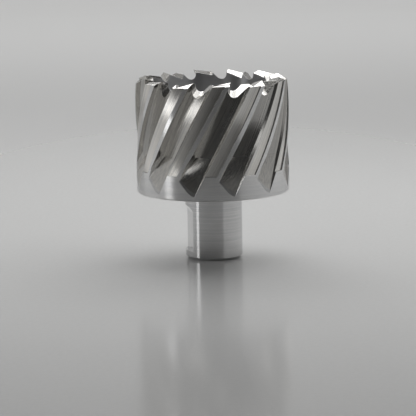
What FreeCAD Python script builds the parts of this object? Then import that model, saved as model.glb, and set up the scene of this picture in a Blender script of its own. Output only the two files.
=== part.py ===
import FreeCAD, Part
import Sketcher
import math
import os
from FreeCAD import Vector

# A hollow cutter that broaches a ring out of plate. It stands on the end of its
# shank with its teeth up. Z is the axis it turns about, and z = 0 is the shank end.

doc = FreeCAD.newDocument("annular_cutter")

# Driving dimensions in millimetres and degrees.
SIZES = {
    # Blank: body, cup, shank and pilot bore.
    "cutting_dia": 50.8,
    "body_length": 38.1,
    "wall": 5.4,
    "cup_depth": 29.0,
    "cup_bevel": 2.0,
    "rim_chamfer": 0.4,
    "shank_dia": 19.05,
    "shank_length": 22.5,
    "shank_chamfer": 0.9,
    "neck_fillet": 1.0,
    "pilot_dia": 6.4,
    "pilot_chamfer": 0.5,
    # Two drive flats on the shank, a quarter turn apart.
    "flat_depth": 1.55,
    "flat_start": 2.9,
    "flat_length": 12.5,
    "flat_runout": 3.0,
    "flat_turn": 101.0,
    # Teeth and the flutes between them.
    "tooth_count": 12,
    "tooth_turn": 283.2,
    "helix_angle": 29.4,
    "flute_arc": 18.0,
    "flute_depth": 3.1,
    "heel_depth": 1.3,
    "rake_tilt": 13.0,
    "rake_hollow": 0.4,
    "heel_tilt": 35.0,
    # Run-out of the flute, in heights above the back of the body.
    "runout_start": 13.9,
    "runout_corner": 6.4,
    "runout_tip": 1.5,
    "runout_heel": 0.7,
    "runout_lift": 1.9,
    "runout_past": 0.6,
    "runout_gap": 0.1,
    # Relief on each land, behind its margin.
    "margin_width": 1.6,
    "relief_depth": 0.35,
    "relief_end": 8.0,
    # Gullet in front of each tooth. Its tool runs inwards, turned ahead of the
    # radius and tilted up, and its section is measured square to that path.
    "gullet_turn": 13.0,
    "gullet_tilt": 31.0,
    "gullet_depth": 3.95,
    "gullet_radius": 1.95,
    "gullet_slope": 33.0,
    "gullet_bite": 0.15,
    # Roof of each tooth. Finishing and roughing teeth take turns.
    "ridge_inset": 2.7,
    "inner_slope": 12.0,
    "finishing_drop": 1.05,
    "finishing_outer_relief": 4.2,
    "finishing_inner_relief": 10.0,
    "roughing_drop": 1.45,
    "roughing_outer_relief": 6.5,
    "roughing_inner_relief": 18.0,
    # Groove that splits the chip, along the outer facet of each finishing tooth.
    "split_inset": 1.35,
    "split_depth": 0.25,
}

sheet = doc.addObject("Spreadsheet::Sheet", "Sizes")
for row, (alias, number) in enumerate(SIZES.items(), start=1):
    sheet.set(f"A{row}", alias)
    sheet.set(f"B{row}", str(number))
    sheet.setAlias(f"B{row}", alias)
doc.recompute()

# Formulas that several features share.
RADIUS = "(Sizes.cutting_dia / 2)"
SHANK_RADIUS = "(Sizes.shank_dia / 2)"
PILOT_RADIUS = "(Sizes.pilot_dia / 2)"
CUP_RADIUS = f"({RADIUS} - Sizes.wall)"
FOOT_RADIUS = f"({RADIUS} - Sizes.flute_depth)"
BACK = "Sizes.shank_length"
TOP = "(Sizes.shank_length + Sizes.body_length)"
CUP_FLOOR = f"({TOP} - Sizes.cup_depth)"
CORNER_HEIGHT = f"({TOP} - Sizes.finishing_drop)"
TOOTH_ANGLE = "(360 / Sizes.tooth_count)"
LEAD = "(pi * Sizes.cutting_dia / tan(Sizes.helix_angle))"

# Each cutting tool starts this far outside the blank, in millimetres.
CLEAR = 8.0
# A cut that ends in an open flute reaches this far into it, in degrees.
OVERLAP = 2.0
# A pattern's copies overlap a little, so they take away this share or more of
# what as many separate cuts would.
LEAST_SHARE = 0.95


def origin_part(body, role):
    """Return one of the body's own origin planes or axes."""
    return next(feature for feature in body.Origin.OriginFeatures if feature.Role == role)


def placement(x, y, z, yaw=0, pitch=0, roll=0):
    """Write the formula of a place and its turns about Z, Y and X."""
    return f"placement(vector({x}; {y}; {z}); rotation({yaw}; {pitch}; {roll}))"


def value_of(formula):
    """Work out a formula of the sheet as a plain number."""
    result = sheet.evalExpression(str(formula))
    return float(getattr(result, "Value", result))


def removed(cut):
    """Return the volume that a cut takes away."""
    return cut.BaseFeature.Shape.Volume - cut.Shape.Volume


def check(feature):
    """Recompute and stop where the feature failed or cut nothing."""
    doc.recompute()
    bad = {"Invalid", "Error"} & set(feature.State)
    if bad or feature.Shape.isNull() or not feature.Shape.isValid():
        raise RuntimeError(f"{feature.Label} failed: {feature.State}")
    if feature.BaseFeature and removed(feature) <= 0:
        raise RuntimeError(f"{feature.Label} cut nothing")
    return feature


def make_sketch(name, role, corners, arcs=None, offset=None):
    """Draw a closed outline on an origin plane of the cutter.

    Corners are pairs of formulas. The side that starts at corner i is an arc
    where arcs[i] gives its centre and radius, and a straight line elsewhere.
    """
    arcs = arcs or {}
    sketch = cutter.newObject("Sketcher::SketchObject", name)
    sketch.AttachmentSupport = [(origin_part(cutter, role), "")]
    sketch.MapMode = "FlatFace"
    if offset:
        sketch.setExpression("AttachmentOffset", offset)
    points = [Vector(value_of(x), value_of(y), 0) for x, y in corners]
    count = len(points)
    ends = []
    for index, start in enumerate(points):
        stop = points[(index + 1) % count]
        if index in arcs:
            centre = Vector(value_of(arcs[index][0]), value_of(arcs[index][1]), 0)
            turns_left = (start - centre).cross(stop - centre).z > 0
            first, last = (start, stop) if turns_left else (stop, start)
            circle = Part.Circle(centre, Vector(0, 0, 1), value_of(arcs[index][2]))
            angles = [math.atan2((p - centre).y, (p - centre).x) for p in (first, last)]
            sketch.addGeometry(Part.ArcOfCircle(circle, *angles), False)
            ends.append((1, 2) if turns_left else (2, 1))
        else:
            sketch.addGeometry(Part.LineSegment(start, stop), False)
            ends.append((1, 2))
    for index in range(count):
        after = (index + 1) % count
        sketch.addConstraint(
            Sketcher.Constraint("Coincident", index, ends[index][1], after, ends[after][0]))
    for index, (x, y) in enumerate(corners):
        point = (index, ends[index][0])
        across = Sketcher.Constraint("DistanceX", -1, 1, *point, points[index].x)
        bind(sketch, across, x)
        up = Sketcher.Constraint("DistanceY", -1, 1, *point, points[index].y)
        bind(sketch, up, y)
    for index, (_, _, radius) in arcs.items():
        bind(sketch, Sketcher.Constraint("Radius", index, value_of(radius)), radius)
    return sketch


def bind(sketch, constraint, formula):
    """Add a constraint whose value follows a formula of the sheet."""
    index = sketch.addConstraint(constraint)
    sketch.setExpression(f"Constraints[{index}]", str(formula))


def repeat(name, features, count, angle="360"):
    """Copy features round the axis of the cutter."""
    pattern = cutter.newObject("PartDesign::PolarPattern", name)
    pattern.Originals = features
    pattern.Axis = (origin_part(cutter, "Z_Axis"), [""])
    pattern.setExpression("Angle", angle)
    pattern.setExpression("Occurrences", str(count))
    cutter.Tip = pattern
    check(pattern)
    copies = value_of(count) - 1
    if removed(pattern) < LEAST_SHARE * copies * sum(map(removed, features)):
        raise RuntimeError(f"{name} lost a cut")


cutter = doc.addObject("PartDesign::Body", "annular_cutter")
cutter.Label = "annular_cutter"
cutter.setExpression("Placement", placement(0, 0, 0, "Sizes.tooth_turn"))

# Blank, turned in one piece.
blank = cutter.newObject("PartDesign::Revolution", "blank")
blank.Profile = make_sketch("blank_outline", "XZ_Plane", [
    (f"{PILOT_RADIUS} + Sizes.pilot_chamfer", 0),
    (f"{SHANK_RADIUS} - Sizes.shank_chamfer", 0),
    (SHANK_RADIUS, "Sizes.shank_chamfer"),
    (SHANK_RADIUS, f"{BACK} - Sizes.neck_fillet"),
    (f"{SHANK_RADIUS} + Sizes.neck_fillet", BACK),
    (f"{RADIUS} - Sizes.rim_chamfer", BACK),
    (RADIUS, f"{BACK} + Sizes.rim_chamfer"),
    (RADIUS, TOP),
    (CUP_RADIUS, TOP),
    (CUP_RADIUS, f"{CUP_FLOOR} + Sizes.cup_bevel"),
    (f"{CUP_RADIUS} - Sizes.cup_bevel", CUP_FLOOR),
    (PILOT_RADIUS, CUP_FLOOR),
    (PILOT_RADIUS, "Sizes.pilot_chamfer"),
], {
    3: (f"{SHANK_RADIUS} + Sizes.neck_fillet", f"{BACK} - Sizes.neck_fillet",
        "Sizes.neck_fillet"),
})
blank.ReferenceAxis = (blank.Profile[0], ["V_Axis"])
blank.Angle = 360
check(blank)

# Drive flats. Each is milled square at the end of the shank and runs out
# round towards the body.
flat_face = f"({SHANK_RADIUS} - Sizes.flat_depth)"
flat_top = "(Sizes.flat_start + Sizes.flat_length)"
flat = cutter.newObject("PartDesign::Pocket", "flat")
flat.Profile = make_sketch("flat_outline", "XZ_Plane", [
    (f"{SHANK_RADIUS} + Sizes.flat_runout", "Sizes.flat_start"),
    (f"{SHANK_RADIUS} + Sizes.flat_runout", f"{flat_top} + Sizes.flat_runout"),
    (f"{flat_face} + Sizes.flat_runout", f"{flat_top} + Sizes.flat_runout"),
    (flat_face, flat_top),
    (flat_face, "Sizes.flat_start"),
], {
    2: (f"{flat_face} + Sizes.flat_runout", flat_top, "Sizes.flat_runout"),
}, placement(0, 0, 0, 0, "Sizes.flat_turn - Sizes.tooth_turn"))
flat.Midplane = True
flat.setExpression("Length", "Sizes.shank_dia")
check(flat)
repeat("flats", [flat], 2, "90")


def turn_at(height):
    """Return how far the helix has turned at a height."""
    return f"((({height}) - {CORNER_HEIGHT}) * 360 / {LEAD})"


def flute_section(name, height, wall_depth, heel_depth):
    """Draw the flute's section at a height: hollow rake wall, floor and heel wall."""
    foot_x = f"({RADIUS} - ({wall_depth}))"
    foot_y = f"(({wall_depth}) * tan(Sizes.rake_tilt))"
    half_wall = "(Sizes.flute_depth / 2)"
    lean = "(Sizes.flute_arc + Sizes.heel_tilt)"
    edge_x = f"{RADIUS} * cos(Sizes.flute_arc)"
    edge_y = f"{RADIUS} * sin(Sizes.flute_arc)"
    foot = f"({heel_depth}) / cos(Sizes.heel_tilt)"
    brim = f"{CLEAR} / cos(Sizes.heel_tilt)"
    return make_sketch(name, "XY_Plane", [
        (f"{RADIUS} + {CLEAR}", f"-{CLEAR} * tan(Sizes.rake_tilt)"),
        (f"{foot_x} + Sizes.flute_depth", f"{foot_y} - Sizes.flute_depth * tan(Sizes.rake_tilt)"),
        (f"{foot_x} + {half_wall} - Sizes.rake_hollow * sin(Sizes.rake_tilt)",
         f"{foot_y} - {half_wall} * tan(Sizes.rake_tilt)"
         " - Sizes.rake_hollow * cos(Sizes.rake_tilt)"),
        (foot_x, foot_y),
        (f"{edge_x} - {foot} * cos({lean})", f"{edge_y} - {foot} * sin({lean})"),
        (f"{edge_x} + {brim} * cos({lean})", f"{edge_y} + {brim} * sin({lean})"),
    ], offset=placement(0, 0, height, turn_at(height)))


def helical_cut(name, section, start):
    """Sweep a section up the helix, past the teeth."""
    cut = cutter.newObject("PartDesign::SubtractiveHelix", name)
    cut.Profile = section
    cut.ReferenceAxis = (origin_part(cutter, "Z_Axis"), [""])
    cut.setExpression("Pitch", LEAD)
    cut.setExpression("Height", f"{TOP} + {CLEAR} - ({start})")
    return check(cut)


# Flute, from the teeth down to where it starts to run out.
runout_start = f"({BACK} + Sizes.runout_start)"
upper_section = flute_section("flute_section", runout_start, "Sizes.flute_depth",
                              "Sizes.heel_depth")
flute = helical_cut("flute", upper_section, runout_start)

# Run-out. The floor climbs to the skin at the rake wall first, so that the
# flute ends in a slanting edge with its tip at the heel wall. The last section
# lies just outside the skin, below the tip.
corner_height = f"({BACK} + Sizes.runout_corner)"
tip_height = f"({BACK} + Sizes.runout_tip - Sizes.runout_past)"
corner_section = flute_section("corner_section", corner_height, "0",
                               "Sizes.runout_heel")
tip_section = flute_section("tip_section", tip_height, "-Sizes.runout_lift",
                            "-Sizes.runout_gap")
runout = cutter.newObject("PartDesign::SubtractiveLoft", "runout")
runout.Profile = upper_section
runout.Sections = [corner_section, tip_section]
runout.Ruled = False
check(runout)

# Relief along each land, between the heel wall and the margin.
relief_start = f"({BACK} + Sizes.relief_end)"
relief_radius = f"({RADIUS} - Sizes.relief_depth)"
relief_from = f"(Sizes.flute_arc - {OVERLAP})"
relief_to = f"({TOOTH_ANGLE} - Sizes.margin_width / {RADIUS} * 180 / pi)"
relief_section = make_sketch("relief_section", "XY_Plane", [
    (f"{radius} * cos({angle})", f"{radius} * sin({angle})")
    for radius, angle in (
        (f"({RADIUS} + {CLEAR})", relief_from),
        (relief_radius, relief_from),
        (relief_radius, relief_to),
        (f"({RADIUS} + {CLEAR})", relief_to),
    )
], offset=placement(0, 0, relief_start, turn_at(relief_start)))
relief = helical_cut("relief", relief_section, relief_start)

# Gullet. Its round bottom meets the rake face on one side and climbs to the
# next tooth's heel on the other. The sketch's own origin lies on the rake face,
# where the foot of the flute's wall would reach the height of the ridges. The
# outline bites a little past that face, so that the two cuts share no plane.
sin_turn = "sin(Sizes.gullet_turn)"
cos_turn = "cos(Sizes.gullet_turn)"
sin_tilt = "sin(Sizes.gullet_tilt)"
cos_tilt = "cos(Sizes.gullet_tilt)"
tool_start = "(Sizes.wall + Sizes.flute_depth)"
rake_foot = (f"({FOOT_RADIUS} * sin(Sizes.finishing_drop * 360 / {LEAD})"
             f" + Sizes.flute_depth * tan(Sizes.rake_tilt))")
rake_slant = f"({FOOT_RADIUS} / {RADIUS} * tan(Sizes.helix_angle))"
rake_lean = (f"atan({cos_turn} * {rake_slant}"
             f" / ({cos_tilt} - {sin_turn} * {sin_tilt} * {rake_slant}))")
centre_y = "(Sizes.gullet_radius - Sizes.gullet_depth)"
centre_x = (f"(Sizes.gullet_radius / cos({rake_lean}) + {centre_y} * tan({rake_lean})"
            f" - Sizes.gullet_bite)")
slope_x = f"({centre_x} + Sizes.gullet_radius * sin(Sizes.gullet_slope))"
slope_y = f"({centre_y} - Sizes.gullet_radius * cos(Sizes.gullet_slope))"
head = f"({CLEAR} / 2)"
gullet = cutter.newObject("PartDesign::Pocket", "gullet")
gullet.Profile = make_sketch("gullet_outline", "XY_Plane", [
    (f"{head} * tan({rake_lean}) - Sizes.gullet_bite", head),
    (f"{centre_x} - Sizes.gullet_radius * cos({rake_lean})",
     f"{centre_y} + Sizes.gullet_radius * sin({rake_lean})"),
    (slope_x, slope_y),
    (f"{slope_x} + ({head} - {slope_y}) / tan(Sizes.gullet_slope)", head),
], {
    1: (centre_x, centre_y, "Sizes.gullet_radius"),
}, placement(
    f"{FOOT_RADIUS} + {tool_start} * {cos_tilt} * {cos_turn}",
    f"{rake_foot} - {tool_start} * {cos_tilt} * {sin_turn}",
    f"{TOP} - {tool_start} * {sin_tilt}",
    "90 - Sizes.gullet_turn", 0, "90 + Sizes.gullet_tilt"))
gullet.setExpression("Length", f"{tool_start} * 2")
check(gullet)

repeat("flutes", [flute, runout, relief, gullet], "Sizes.tooth_count")


TOOTH_LENGTH = f"({RADIUS} * sin({TOOTH_ANGLE} - Sizes.flute_arc + {OVERLAP}))"


def facet(name, inset, drop, turn, slope, relief_angle):
    """Cut one side of a tooth's roof away above a plane through its edge."""
    radius = f"({RADIUS} - {inset})"
    lead = f"({radius} * sin(Sizes.finishing_drop * 360 / {LEAD}) + {inset} * tan(Sizes.rake_tilt))"
    ahead = f"({lead} * {inset} / Sizes.ridge_inset)"
    reach = f"(Sizes.wall + {CLEAR} / 2)"
    side = f"({RADIUS} * sin(Sizes.flute_arc))"
    cut = cutter.newObject("PartDesign::Pocket", name)
    cut.Profile = make_sketch(f"{name}_outline", "XY_Plane", [
        (f"-{reach}", f"-{TOOTH_LENGTH}"),
        (reach, f"-{TOOTH_LENGTH}"),
        (reach, side),
        (f"-{reach}", side),
    ], offset=placement(
        f"{radius} * cos({turn}) - {ahead} * sin({turn})",
        f"{radius} * sin({turn}) + {ahead} * cos({turn})",
        f"{TOP} - {drop}", turn, slope, relief_angle))
    cut.Reversed = True
    cut.setExpression("Length", str(CLEAR))
    return check(cut)


def groove(name, drop, turn, slope, relief_angle):
    """Cut a right-angled V along a tooth's outer facet, in line with its relief."""
    middle = f"(-Sizes.split_inset / cos({slope}))"
    cut = cutter.newObject("PartDesign::Pocket", name)
    cut.Profile = make_sketch(f"{name}_outline", "XY_Plane", [
        (f"{middle} - Sizes.split_depth * 2", "Sizes.split_depth"),
        (middle, "-Sizes.split_depth"),
        (f"{middle} + Sizes.split_depth * 2", "Sizes.split_depth"),
    ], offset=placement(f"{RADIUS} * cos({turn})", f"{RADIUS} * sin({turn})",
                        f"{TOP} - {drop}", turn, slope, f"90 + {relief_angle}"))
    cut.Midplane = True
    cut.setExpression("Length", f"2 * {TOOTH_LENGTH}")
    return check(cut)


def roof(kind, turn, split=False):
    """Cut the two facets that meet in a tooth's ridge, on every second tooth."""
    drop = f"Sizes.{kind}_drop"
    slope = f"atan({drop} / Sizes.ridge_inset)"
    outer_relief = f"Sizes.{kind}_outer_relief"
    inner_relief = f"Sizes.{kind}_inner_relief"
    cuts = [
        facet(f"{kind}_outer", "0", drop, turn, slope, outer_relief),
        facet(f"{kind}_inner", "Sizes.ridge_inset", 0, turn, "-Sizes.inner_slope", inner_relief),
    ]
    if split:
        cuts.append(groove(f"{kind}_split", drop, turn, slope, outer_relief))
    repeat(f"{kind}_roofs", cuts, "Sizes.tooth_count / 2")


roof("finishing", 0, split=True)
roof("roughing", TOOTH_ANGLE)

doc.recompute()
for thing in doc.Objects:
    if {"Invalid", "Error"} & set(thing.State):
        raise RuntimeError(f"{thing.Label} failed: {thing.State}")
if cutter.Shape.isNull() or not cutter.Shape.isValid():
    raise RuntimeError("the cutter is not a valid solid")
os.makedirs("parts", exist_ok=True)
cutter.Shape.exportStep(f"parts/{cutter.Label}.step")
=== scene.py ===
import math

import bpy
from mathutils import Matrix, Vector


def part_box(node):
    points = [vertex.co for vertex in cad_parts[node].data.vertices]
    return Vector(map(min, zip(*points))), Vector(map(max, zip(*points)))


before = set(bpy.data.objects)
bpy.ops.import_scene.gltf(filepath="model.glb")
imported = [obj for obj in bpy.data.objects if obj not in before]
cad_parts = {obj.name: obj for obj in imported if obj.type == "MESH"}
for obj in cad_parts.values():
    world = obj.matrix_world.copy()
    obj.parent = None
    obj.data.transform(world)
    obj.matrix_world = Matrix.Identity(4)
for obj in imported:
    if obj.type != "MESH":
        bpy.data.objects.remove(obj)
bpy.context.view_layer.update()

MM = 0.001

# Sizes of the cutter that its material follows, in metres. What lies deeper than
# MARGIN_DEPTH under the body's skin belongs to a flute or to a land's relief.
low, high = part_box("annular_cutter")
BODY_RADIUS = (high.x - low.x) / 2
SHANK_LENGTH = 22.5 * MM
CUP_WALL = 5.4 * MM
MARGIN_DEPTH = 0.18 * MM
HELIX_ANGLE = math.radians(29.4)
CUP_RADIUS = BODY_RADIUS - CUP_WALL
MARGIN_RADIUS = BODY_RADIUS - MARGIN_DEPTH
TURN_PER_METRE = math.tan(HELIX_ANGLE) / BODY_RADIUS

# Edges between regions: how far past the edge a region starts, and how softly.
REGION_GAP = 0.1 * MM
REGION_SOFT = 0.05 * MM

# Machining marks, as fine, middling and wide noise, in grains per metre. HELIX_SLIDE
# and RING_SLIDE are small, so that the grains are long along the helix or the ring.
MARK_SCALES = (9000, 3000, 900)
HELIX_SLIDE = 0.012
RING_SLIDE = 0.01
BUMP_DEPTH = 0.008 * MM
WORN_RADIUS = 0.09 * MM
WORN_SAMPLES = 6
WORN_GAIN = 5.0
SMUDGE_SCALE = (160, 160, 130)
SPECKLE_SCALE = (2400, 2400, 2400)

# Hairline scratches lie in cells. Widths and lengths are shares of a cell.
HAIR_CELLS_X = 260.0
HAIR_CELLS_Y = 190.0
HAIR_CELLS_ALONG = 75.0
HAIR_HALF_WIDTH = 0.008
HAIR_SOFT = 0.006
HAIR_ENDS = (0.2, 0.8)
HAIR_END_SOFT = 0.15
HAIR_PICKED_ABOVE = 0.82

# Roughness of each region, before its marks are added.
SHANK_ROUGHNESS = 0.13
BODY_ROUGHNESS = 0.21
FLUTE_ROUGHNESS = 0.17
CUP_ROUGHNESS = 0.30
CUP_WALL_ROUGHNESS = 0.40

# Depth of the marks in each region, as a share of the body's.
SHANK_MARKS = 0.4
BODY_MARKS = 1.0
FLUTE_MARKS = 4.5

# How far a highlight is drawn out, on the cup's wall and elsewhere.
CUP_WALL_STRETCH = 0.95
PLAIN_STRETCH = 0.5

# A face counts as level or as upright by the upward part of its normal.
LEVEL_ABOVE = 0.45
UPRIGHT_BELOW = 0.35
FACING_SOFT = 0.10

GROUND_DARK = (0.585, 0.588, 0.595, 1)
GROUND_LIGHT = (0.665, 0.662, 0.655, 1)
FLUTE_DARK = (0.51, 0.505, 0.495, 1)
FLUTE_LIGHT = (0.70, 0.68, 0.64, 1)
# Painted shade: a darker grey for inside the cup's hollow.
CUP_PAINTED_SHADE = (0.40, 0.40, 0.405, 1)
SMUDGE_GREY = (0.50, 0.495, 0.48, 1)
# Painted highlight: the lighter colour laid along the worn edges.
WORN_EDGE_PAINTED_HIGHLIGHT = (0.76, 0.76, 0.755, 1)

# Sockets of the mix node for each kind of value: factor, first, second, result.
MIX_SOCKETS = {"FLOAT": (0, 2, 3, 0), "VECTOR": (0, 4, 5, 1), "RGBA": (0, 6, 7, 2)}


class Graph:
    """Node tree of one material, written as short calls."""

    def __init__(self, tree):
        self.tree = tree
        tree.nodes.clear()

    def node(self, kind, inputs=None, **settings):
        """Add a node. An input is a number, a colour or another node's output."""
        made = self.tree.nodes.new(kind)
        for name, value in settings.items():
            setattr(made, name, value)
        for name, value in (inputs or {}).items():
            if isinstance(value, bpy.types.NodeSocket):
                self.tree.links.new(value, made.inputs[name])
            else:
                made.inputs[name].default_value = value
        return made

    def math(self, operation, first, second=0.0, clamp=False):
        """Work out one sum of two numbers."""
        made = self.node("ShaderNodeMath", {0: first, 1: second},
                         operation=operation, use_clamp=clamp)
        return made.outputs[0]

    def opposite(self, share):
        """Give 1 less a share."""
        return self.math("SUBTRACT", 1.0, share)

    def step(self, value, edge, soft):
        """Go smoothly from 0 below an edge to 1 above it."""
        made = self.node("ShaderNodeMapRange", {
            "Value": value, "From Min": edge - soft, "From Max": edge + soft,
        }, interpolation_type="SMOOTHSTEP")
        return made.outputs["Result"]

    def band(self, value, bottom, top, soft):
        """Be 1 between two edges and 0 outside them."""
        over = self.step(value, bottom, soft)
        under = self.opposite(self.step(value, top, soft))
        return self.math("MULTIPLY", over, under)

    def vector(self, operation, first, second=(0.0, 0.0, 0.0)):
        """Work out one sum of two vectors. A dot product or a length is a number."""
        made = self.node("ShaderNodeVectorMath", {0: first, 1: second},
                         operation=operation)
        single = operation in ("DOT_PRODUCT", "LENGTH")
        return made.outputs["Value" if single else "Vector"]

    def turned(self, vector, angle, axis):
        """Turn a vector about an axis."""
        made = self.node("ShaderNodeVectorRotate", {"Vector": vector, "Angle": angle},
                         rotation_type=axis)
        return made.outputs["Vector"]

    def split(self, vector):
        """Take a vector apart into its three numbers."""
        return tuple(self.node("ShaderNodeSeparateXYZ", {0: vector}).outputs)

    def join(self, x, y, z):
        """Make a vector of three numbers."""
        return self.node("ShaderNodeCombineXYZ", {0: x, 1: y, 2: z}).outputs[0]

    def noise(self, vector, stretch, detail=2.0, roughness=0.5):
        """Make noise whose grain is stretched along the axes."""
        made = self.node("ShaderNodeTexNoise", {
            "Vector": self.vector("MULTIPLY", vector, stretch), "Scale": 1.0,
            "Detail": detail, "Roughness": roughness,
        })
        return made.outputs["Fac"]

    def summed(self, terms):
        """Add up numbers, each times its weight."""
        total = 0.0
        for value, weight in terms:
            total = self.math("ADD", total, self.math("MULTIPLY", value, weight))
        return total

    def mix(self, kind, factor, first, second):
        """Go from one value to another as a factor goes from 0 to 1."""
        *sockets, result = MIX_SOCKETS[kind]
        inputs = dict(zip(sockets, (factor, first, second)))
        return self.node("ShaderNodeMix", inputs, data_type=kind).outputs[result]

    def between(self, factor, first, second):
        """Go from one number to another."""
        return self.mix("FLOAT", factor, first, second)

    def colour_between(self, factor, first, second):
        """Go from one colour to another."""
        return self.mix("RGBA", factor, first, second)


def new_material(name):
    """Make an empty material with its graph."""
    material = bpy.data.materials.new(name)
    material.use_nodes = True
    return material, Graph(material.node_tree)


def hairlines(graph, place, tilt, seed):
    """Scatter short straight scratches that lean by an angle in radians."""
    x, y, z = graph.split(graph.turned(place, tilt, "Y_AXIS"))
    across = graph.summed(((x, HAIR_CELLS_X), (y, HAIR_CELLS_Y)))
    along = graph.math("MULTIPLY", z, HAIR_CELLS_ALONG)
    cell = graph.join(graph.math("FLOOR", across), graph.math("FLOOR", along), seed)
    chance, where, _ = graph.split(graph.node(
        "ShaderNodeTexWhiteNoise", {"Vector": cell}).outputs["Color"])
    # The hair keeps off the cell's sides, so that it isn't cut there.
    middle = graph.summed(((where, 0.7), (1.0, 0.15)))
    offset = graph.math("SUBTRACT", graph.math("FRACT", across), middle)
    hair = graph.band(offset, -HAIR_HALF_WIDTH, HAIR_HALF_WIDTH, HAIR_SOFT)
    length = graph.band(graph.math("FRACT", along), *HAIR_ENDS, HAIR_END_SOFT)
    picked = graph.step(chance, HAIR_PICKED_ABOVE, 0.01)
    return graph.math("MULTIPLY", graph.math("MULTIPLY", hair, length), picked)


def tool_steel():
    """Ground and polished tool steel, with each region's own machining marks."""
    material, graph = new_material("ground_tool_steel")
    coordinates = graph.node("ShaderNodeTexCoord")
    place = coordinates.outputs["Object"]
    normal = coordinates.outputs["Normal"]
    x, y, z = graph.split(place)
    radius = graph.vector("LENGTH", graph.join(x, y, 0.0))
    outward = graph.vector("NORMALIZE", graph.join(x, y, 0.0))
    facing_up = graph.split(normal)[2]

    # Regions: inside the cup and its upright wall, the ring of teeth, the flutes
    # and reliefs in it, the faces of the teeth that look up, and the bare skin.
    over_back = graph.step(z, SHANK_LENGTH + REGION_GAP, REGION_SOFT)
    past_cup = graph.step(radius, CUP_RADIUS + REGION_GAP, REGION_SOFT)
    at_skin = graph.step(radius, MARGIN_RADIUS, REGION_SOFT)
    inside = graph.math("MULTIPLY", over_back, graph.opposite(past_cup))
    upright = graph.opposite(graph.step(facing_up, UPRIGHT_BELOW, FACING_SOFT))
    cup_wall = graph.math("MULTIPLY", inside, upright)
    toothed = graph.math("MULTIPLY", over_back, past_cup)
    fluted = graph.math("MULTIPLY", toothed, graph.opposite(at_skin))
    level = graph.step(facing_up, LEVEL_ABOVE, FACING_SOFT)
    crowned = graph.math("MULTIPLY", toothed, level)
    bare = graph.math("MULTIPLY", over_back, at_skin)

    # Machining marks run round the turned faces, along the helix in the flutes,
    # and outwards over the gullets and roofs of the teeth.
    around_axis = graph.join(radius, z, graph.math("MULTIPLY", x, RING_SLIDE))
    unwound = graph.turned(place, graph.math("MULTIPLY", z, -TURN_PER_METRE), "Z_AXIS")
    along_helix = graph.vector("MULTIPLY", unwound, (1.0, 1.0, HELIX_SLIDE))
    across_tooth = graph.vector(
        "ADD", graph.vector("MULTIPLY", outward, (BODY_RADIUS,) * 3),
        graph.join(0.0, 0.0, z))
    marks = []
    for per_metre in MARK_SCALES:
        stretch = (per_metre,) * 3
        round_marks = graph.noise(around_axis, stretch)
        helix_marks = graph.noise(along_helix, stretch)
        tooth_marks = graph.noise(across_tooth, stretch)
        mark = graph.between(fluted, round_marks, helix_marks)
        marks.append(graph.between(crowned, mark, tooth_marks))
    fine, middling, wide = marks

    # Handling leaves smudges and a few short hairline scratches.
    smudges = graph.noise(place, SMUDGE_SCALE, detail=5.0, roughness=0.6)
    scratches = graph.math("MAXIMUM", hairlines(graph, place, tilt=0.5, seed=1.0),
                           hairlines(graph, place, tilt=-0.9, seed=2.0))

    # The bare skin, such as the collar under the flutes, has a speckled grain.
    speckle = graph.math("MULTIPLY", bare,
                         graph.noise(place, SPECKLE_SCALE, detail=1.0))

    # Sharp edges are rounded a little by wear, and a painted highlight lightens their
    # colour.
    bevel = graph.node("ShaderNodeBevel", {"Radius": WORN_RADIUS}, samples=WORN_SAMPLES)
    edges = bevel.outputs["Normal"]
    geometry = graph.node("ShaderNodeNewGeometry").outputs["Normal"]
    rounded = graph.opposite(graph.vector("DOT_PRODUCT", edges, geometry))
    wear_and_highlight = graph.math("MULTIPLY", rounded, WORN_GAIN, clamp=True)

    roughness = graph.between(over_back, SHANK_ROUGHNESS, BODY_ROUGHNESS)
    roughness = graph.between(fluted, roughness, FLUTE_ROUGHNESS)
    roughness = graph.between(inside, roughness, CUP_ROUGHNESS)
    roughness = graph.between(cup_wall, roughness, CUP_WALL_ROUGHNESS)
    # The last term takes away the middle of what the marks and smudges add.
    roughness = graph.summed((
        (roughness, 1.0), (fine, 0.10), (middling, 0.14), (wide, 0.08),
        (smudges, 0.10), (scratches, 0.06), (wear_and_highlight, -0.03), (1.0, -0.21)))

    tone = graph.step(middling, 0.5, 0.22)
    smudged = graph.math("MULTIPLY", graph.step(smudges, 0.60, 0.10), 0.25)
    colour = graph.colour_between(
        fluted, graph.colour_between(tone, GROUND_DARK, GROUND_LIGHT),
        graph.colour_between(tone, FLUTE_DARK, FLUTE_LIGHT))
    # Inside the cup the colour is darkened: painted shade in the hollow.
    colour = graph.colour_between(graph.math("MULTIPLY", inside, 0.6), colour, CUP_PAINTED_SHADE)
    colour = graph.colour_between(smudged, colour, SMUDGE_GREY)
    # Along the edges the colour is lightened: a painted highlight over the wear.
    colour = graph.colour_between(graph.math("MULTIPLY", wear_and_highlight, 0.6), colour, WORN_EDGE_PAINTED_HIGHLIGHT)

    # The marks are deepest in the flutes and faint on the shank.
    depth = graph.between(over_back, SHANK_MARKS, BODY_MARKS)
    depth = graph.between(fluted, depth, FLUTE_MARKS)
    height = graph.math("MULTIPLY", depth, graph.summed((
        (fine, 0.15), (middling, 0.55), (wide, 0.35))))
    height = graph.summed(((height, 1.0), (speckle, 1.1), (scratches, -0.3)))
    bump = graph.node("ShaderNodeBump", {
        "Strength": 1.0, "Distance": BUMP_DEPTH, "Height": height, "Normal": edges,
    })

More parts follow.
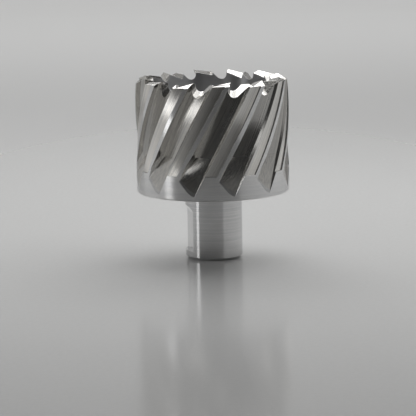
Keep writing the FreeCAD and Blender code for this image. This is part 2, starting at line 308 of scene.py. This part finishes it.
    # The highlight is drawn out across the marks, most on the cup's wall.
    helix = graph.join(graph.math("MULTIPLY", y, -TURN_PER_METRE),
                       graph.math("MULTIPLY", x, TURN_PER_METRE), 1.0)
    across_rings = graph.vector("ADD", outward, (0.0, 0.0, 1.0))
    across_helix = graph.vector("CROSS_PRODUCT", normal, helix)
    shader = graph.node("ShaderNodeBsdfPrincipled", {
        "Base Color": colour, "Metallic": 1.0, "Roughness": roughness,
        "Anisotropic": graph.between(cup_wall, PLAIN_STRETCH, CUP_WALL_STRETCH),
        "Tangent": graph.mix("VECTOR", fluted, across_rings, across_helix),
        "Normal": bump.outputs["Normal"],
    })
    graph.node("ShaderNodeOutputMaterial", {"Surface": shader.outputs["BSDF"]})
    return material


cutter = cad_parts["annular_cutter"]
steel = tool_steel()
for slot in cutter.material_slots:
    slot.material = steel


# Stage: a pale round floor that curves up at its rim. The floor is polished
# within POLISHED_REACH of the cutter, further to the front and back, then matt.
FLOOR_MIDDLE = (0.0, -0.6)
FIRST_RING = 0.3
FLOOR_RADIUS = 1.7
RIM_CURVE = 0.5
RIM_HEIGHT = 0.7
FLOOR_SEGMENTS = 96
RIM_STEPS = 16
FLOOR_DARK = (0.61, 0.61, 0.605, 1)
FLOOR_LIGHT = (0.65, 0.65, 0.645, 1)
FLOOR_GRAIN = (700, 700, 700)
POLISHED_REACH = 0.16
POLISHED_SOFT = 0.05
REACH_WEIGHTS = (1.0, 0.4, 1.0)
POLISHED_ROUGHNESS = (0.12, 0.18)
MATT_ROUGHNESS = 0.65


def stage_mesh():
    """Build the floor and the backdrop round it as one sheet."""
    line = [(FIRST_RING, 0.0), (FLOOR_RADIUS, 0.0)]
    for index in range(1, RIM_STEPS + 1):
        angle = math.pi / 2 * index / RIM_STEPS
        line.append((FLOOR_RADIUS + RIM_CURVE * math.sin(angle),
                     RIM_CURVE * (1 - math.cos(angle))))
    line.append((FLOOR_RADIUS + RIM_CURVE, RIM_HEIGHT))
    points = [(*FLOOR_MIDDLE, 0.0)]
    for radius, z in line:
        for index in range(FLOOR_SEGMENTS):
            turn = math.tau * index / FLOOR_SEGMENTS
            points.append((FLOOR_MIDDLE[0] + radius * math.cos(turn),
                           FLOOR_MIDDLE[1] + radius * math.sin(turn), z))
    faces = []
    for index in range(FLOOR_SEGMENTS):
        after = (index + 1) % FLOOR_SEGMENTS
        faces.append((0, 1 + index, 1 + after))
        for ring in range(len(line) - 1):
            inner = 1 + ring * FLOOR_SEGMENTS
            outer = inner + FLOOR_SEGMENTS
            faces.append((inner + index, outer + index, outer + after, inner + after))
    mesh = bpy.data.meshes.new("stage")
    mesh.from_pydata(points, [], faces)
    mesh.polygons.foreach_set("use_smooth", [True] * len(mesh.polygons))
    return mesh


def stage_material():
    """Plain pale floor with a faint grain."""
    material, graph = new_material("pale_stage")
    place = graph.node("ShaderNodeTexCoord").outputs["Object"]
    grain = graph.noise(place, FLOOR_GRAIN, detail=3.0)
    reach = graph.vector("LENGTH", graph.vector("MULTIPLY", place, REACH_WEIGHTS))
    matt = graph.step(reach, POLISHED_REACH, POLISHED_SOFT)
    polished = graph.between(grain, *POLISHED_ROUGHNESS)
    shader = graph.node("ShaderNodeBsdfPrincipled", {
        "Base Color": graph.colour_between(grain, FLOOR_DARK, FLOOR_LIGHT),
        "Roughness": graph.between(matt, polished, MATT_ROUGHNESS),
    })
    graph.node("ShaderNodeOutputMaterial", {"Surface": shader.outputs["BSDF"]})
    return material


mesh = stage_mesh()
mesh.materials.append(stage_material())
stage = bpy.data.objects.new("stage", mesh)
bpy.context.scene.collection.objects.link(stage)


def soft_light(name, position, target, width, height, radiance):
    """Hang a soft box that faces a target, with its brightness as radiance."""
    data = bpy.data.lights.new(name, "AREA")
    data.shape = "RECTANGLE"
    data.size = width
    data.size_y = height
    data.energy = radiance * math.pi * width * height
    lamp = bpy.data.objects.new(name, data)
    lamp.location = position
    aim = Vector(target) - Vector(position)
    lamp.rotation_euler = aim.to_track_quat("-Z", "Y").to_euler()
    lamp.visible_camera = False
    bpy.context.scene.collection.objects.link(lamp)


# Boxes that stand on the floor round the cutter: name, azimuth in degrees from the
# camera's side towards the right, distance, width and radiance. Each shines
# outwards too, so that the floor is as pale behind it as before it.
BOX_HEIGHT = 0.26
STANDING_BOXES = (
    ("left_box", -98, 0.20, 0.17, 0.31),
    ("left_strip", -67, 0.27, 0.055, 1.7),
    ("right_box", 86, 0.20, 0.44, 0.27),
)
for name, azimuth, distance, width, radiance in STANDING_BOXES:
    turn = math.radians(azimuth)
    x = distance * math.sin(turn)
    y = -distance * math.cos(turn)
    z = BOX_HEIGHT / 2
    soft_light(name, (x, y, z), (0, 0, z), width, BOX_HEIGHT, radiance)
    soft_light(f"{name}_back", (x, y, z), (2 * x, 2 * y, z), width, BOX_HEIGHT, radiance)

# Hung lamps: a card in front at the left, a box over the cutter, and one over the
# floor behind it.
soft_light("front_card", position=(-0.26, -0.42, 0.40), target=(0, 0, 0.03),
           width=0.14, height=0.34, radiance=0.8)
soft_light("top_box", position=(0.06, 0.10, 0.27), target=(0.02, 0.02, 0.05),
           width=0.50, height=0.28, radiance=1.35)
soft_light("back_box", position=(0, 0.90, 0.9), target=(0, 0.95, 0),
           width=1.6, height=0.8, radiance=2.4)

ROOM_GREY = (0.04, 0.04, 0.04, 1)
world = bpy.data.worlds.new("studio")
world.use_nodes = True
bpy.context.scene.world = world
room = Graph(world.node_tree)
backdrop = room.node("ShaderNodeBackground", {"Color": ROOM_GREY, "Strength": 1.0})
room.node("ShaderNodeOutputWorld", {"Surface": backdrop.outputs[0]})

# Camera, at the photograph's angle.
CAMERA_PLACE = (0.0, -706.5 * MM, 132.1 * MM)
CAMERA_YAW = math.radians(-0.151)
CAMERA_PITCH = math.radians(9.30)
CAMERA_ROLL = math.radians(-0.927)
SENSOR_WIDTH_MM = 36.0
FOCAL_LENGTH_MM = 185.5
NEAREST_SEEN = 0.01
camera_data = bpy.data.cameras.new("camera")
camera_data.sensor_width = SENSOR_WIDTH_MM
camera_data.lens = FOCAL_LENGTH_MM
camera_data.clip_start = NEAREST_SEEN
camera = bpy.data.objects.new("camera", camera_data)
camera.matrix_world = (
    Matrix.Translation(CAMERA_PLACE)
    @ Matrix.Rotation(-CAMERA_YAW, 4, "Z")
    @ Matrix.Rotation(math.pi / 2 - CAMERA_PITCH, 4, "X")
    @ Matrix.Rotation(CAMERA_ROLL, 4, "Z")
)
bpy.context.scene.collection.objects.link(camera)
bpy.context.scene.camera = camera
bpy.context.scene.view_settings.view_transform = "Standard"
